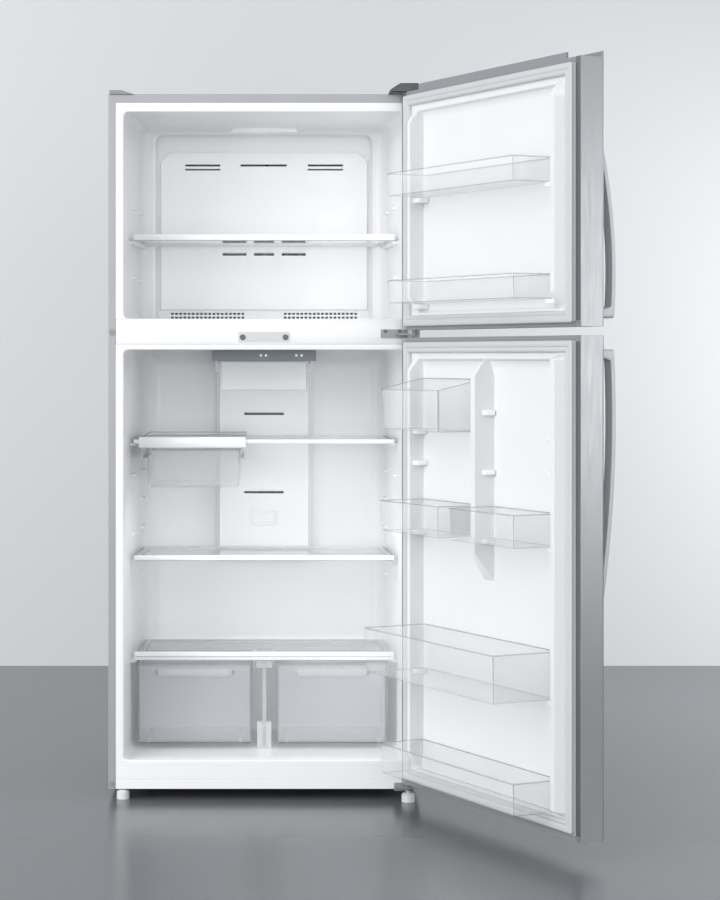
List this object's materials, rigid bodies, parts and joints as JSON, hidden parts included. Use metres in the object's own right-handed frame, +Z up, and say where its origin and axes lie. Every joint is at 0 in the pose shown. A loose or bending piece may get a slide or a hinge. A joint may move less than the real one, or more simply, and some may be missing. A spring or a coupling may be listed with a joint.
{
  "type": "top freezer refrigerator",
  "caption": "Two-door refrigerator with the freezer on top: hinged doors with bins, glass shelves, a deli drawer and crispers that slide out.",
  "frame": {"origin": "on the floor, under the middle of the cabinet's front flange, with the cabinet standing level", "axes": "+X towards the hinge side, +Y from the front flange to the back, +Z up; both doors are stored open at 116.6 degrees"},
  "size_m": [1.1225, 1.3288, 1.7176],
  "materials": {
    "cabinet_paint": "satin platinum paint",
    "zinc_steel": "matte",
    "foam": "rigid foam",
    "white_liner": "glossy moulded",
    "shelf_trim": "glossy moulded",
    "shelf_glass": "tempered glass",
    "clear_plastic": "clear moulded",
    "plate_grey": "satin",
    "screw_metal": "plated",
    "aluminium_fins": "mill",
    "black_paint": "gloss",
    "control_grey": "satin",
    "lamp_lens": "frosted",
    "fan_plastic": "satin",
    "hinge_metal": "satin",
    "dark_plastic": "textured",
    "foot_plastic": "moulded",
    "door_steel": "brushed",
    "handle_steel": "brushed",
    "gasket_rubber": "soft matte"
  },
  "bodies": {
    "cabinet": {"cabinet_shell": "cabinet_paint", "rear_panel": "cabinet_paint", "base_pan": "zinc_steel", "cabinet_insulation": "foam", "freezer_liner": "white_liner", "fridge_liner": "white_liner", "crossbar": "white_liner", "crossbar_plate": "plate_grey", "base_panel": "white_liner", "screws": "screw_metal", "trim_plugs": "plate_grey", "evaporator_cover": "white_liner", "evaporator_coil": "aluminium_fins", "air_duct": "white_liner", "control_panel": "control_grey", "lamps": "lamp_lens", "compressor": "black_paint", "condenser_coil": "black_paint", "compressor_cover": "cabinet_paint", "fan_motors": "zinc_steel", "top_hinge": "hinge_metal", "hinge_cover": "dark_plastic", "middle_hinge": "hinge_metal", "bottom_hinge": "hinge_metal", "crisper_divider": "white_liner"},
    "freezer_door": {"freezer_door_panel": "door_steel", "freezer_door_caps": "dark_plastic", "freezer_door_insulation": "foam", "freezer_door_liner": "white_liner", "freezer_gasket": "gasket_rubber", "freezer_handle": "handle_steel"},
    "fridge_door": {"fridge_door_panel": "door_steel", "fridge_door_caps": "dark_plastic", "fridge_door_insulation": "foam", "fridge_door_liner": "white_liner", "fridge_gasket": "gasket_rubber", "fridge_handle": "handle_steel"},
    "freezer_shelf": {"freezer_shelf_frame": "shelf_trim", "freezer_shelf_glass": "shelf_glass"},
    "upper_shelf": {"upper_shelf_frame": "shelf_trim", "upper_shelf_glass": "shelf_glass"},
    "lower_shelf": {"lower_shelf_frame": "shelf_trim", "lower_shelf_glass": "shelf_glass"},
    "crisper_cover": {"crisper_cover_frame": "shelf_trim", "crisper_cover_glass": "shelf_glass"},
    "deli_drawer": {"deli_drawer": "clear_plastic"},
    "left_crisper": {"left_crisper": "clear_plastic"},
    "right_crisper": {"right_crisper": "clear_plastic"},
    "freezer_upper_bin": {"freezer_upper_bin": "clear_plastic"},
    "freezer_lower_bin": {"freezer_lower_bin": "clear_plastic"},
    "dairy_bin": {"dairy_bin": "clear_plastic"},
    "left_half_bin": {"left_half_bin": "clear_plastic"},
    "right_half_bin": {"right_half_bin": "clear_plastic"},
    "gallon_bin": {"gallon_bin": "clear_plastic"},
    "bottom_bin": {"bottom_bin": "clear_plastic"},
    "evaporator_fan": {"evaporator_fan": "fan_plastic"},
    "condenser_fan": {"condenser_fan": "fan_plastic"},
    "left_foot": {"left_foot": "foot_plastic"},
    "right_foot": {"right_foot": "foot_plastic"},
    "rear_rollers": {"rear_rollers": "fan_plastic"}
  },
  "joints": [
    {"name": "freezer_door_hinge", "type": "hinge", "parent": "cabinet", "child": "freezer_door", "pos_m": [0.3603, -0.0407, 0], "axis": [0, 0, 1], "range_deg": [-116.6, 13.4]},
    {"name": "fridge_door_hinge", "type": "hinge", "parent": "cabinet", "child": "fridge_door", "pos_m": [0.3603, -0.0407, 0], "axis": [0, 0, 1], "range_deg": [-116.6, 13.4]},
    {"name": "freezer_shelf_slide", "type": "slide", "parent": "cabinet", "child": "freezer_shelf", "axis": [0, -1, 0], "range_m": [0, 0.24]},
    {"name": "upper_shelf_slide", "type": "slide", "parent": "cabinet", "child": "upper_shelf", "axis": [0, -1, 0], "range_m": [0, 0.24]},
    {"name": "lower_shelf_slide", "type": "slide", "parent": "cabinet", "child": "lower_shelf", "axis": [0, -1, 0], "range_m": [0, 0.24]},
    {"name": "crisper_cover_slide", "type": "slide", "parent": "cabinet", "child": "crisper_cover", "axis": [0, -1, 0], "range_m": [0, 0.24]},
    {"name": "deli_drawer_slide", "type": "slide", "parent": "upper_shelf", "child": "deli_drawer", "axis": [0, -1, 0], "range_m": [0, 0.2]},
    {"name": "left_crisper_slide", "type": "slide", "parent": "cabinet", "child": "left_crisper", "axis": [0, -1, 0], "range_m": [0, 0.3]},
    {"name": "right_crisper_slide", "type": "slide", "parent": "cabinet", "child": "right_crisper", "axis": [0, -1, 0], "range_m": [0, 0.26]},
    {"name": "freezer_upper_bin_lift", "type": "slide", "parent": "freezer_door", "child": "freezer_upper_bin", "axis": [0, 0, 1], "range_m": [0, 0.03]},
    {"name": "freezer_lower_bin_lift", "type": "slide", "parent": "freezer_door", "child": "freezer_lower_bin", "axis": [0, 0, 1], "range_m": [0, 0.03]},
    {"name": "dairy_bin_lift", "type": "slide", "parent": "fridge_door", "child": "dairy_bin", "axis": [0, 0, 1], "range_m": [0, 0.03]},
    {"name": "left_half_bin_lift", "type": "slide", "parent": "fridge_door", "child": "left_half_bin", "axis": [0, 0, 1], "range_m": [0, 0.03]},
    {"name": "right_half_bin_lift", "type": "slide", "parent": "fridge_door", "child": "right_half_bin", "axis": [0, 0, 1], "range_m": [0, 0.03]},
    {"name": "gallon_bin_lift", "type": "slide", "parent": "fridge_door", "child": "gallon_bin", "axis": [0, 0, 1], "range_m": [0, 0.03]},
    {"name": "bottom_bin_lift", "type": "slide", "parent": "fridge_door", "child": "bottom_bin", "axis": [0, 0, 1], "range_m": [0, 0.03]},
    {"name": "evaporator_fan_spin", "type": "hinge", "parent": "cabinet", "child": "evaporator_fan", "pos_m": [0, 0.482, 1.515], "axis": [0, 1, 0], "continuous": true},
    {"name": "condenser_fan_spin", "type": "hinge", "parent": "cabinet", "child": "condenser_fan", "pos_m": [0.02, 0.525, 0.132], "axis": [1, 0, 0], "continuous": true},
    {"name": "left_foot_turn", "type": "hinge", "parent": "cabinet", "child": "left_foot", "pos_m": [-0.34, 0.012, 0], "axis": [0, 0, 1], "continuous": true},
    {"name": "right_foot_turn", "type": "hinge", "parent": "cabinet", "child": "right_foot", "pos_m": [0.345, -0.026, 0], "axis": [0, 0, 1], "continuous": true},
    {"name": "rear_rollers_roll", "type": "hinge", "parent": "cabinet", "child": "rear_rollers", "pos_m": [0, 0.585, 0.016], "axis": [1, 0, 0], "continuous": true}
  ]
}
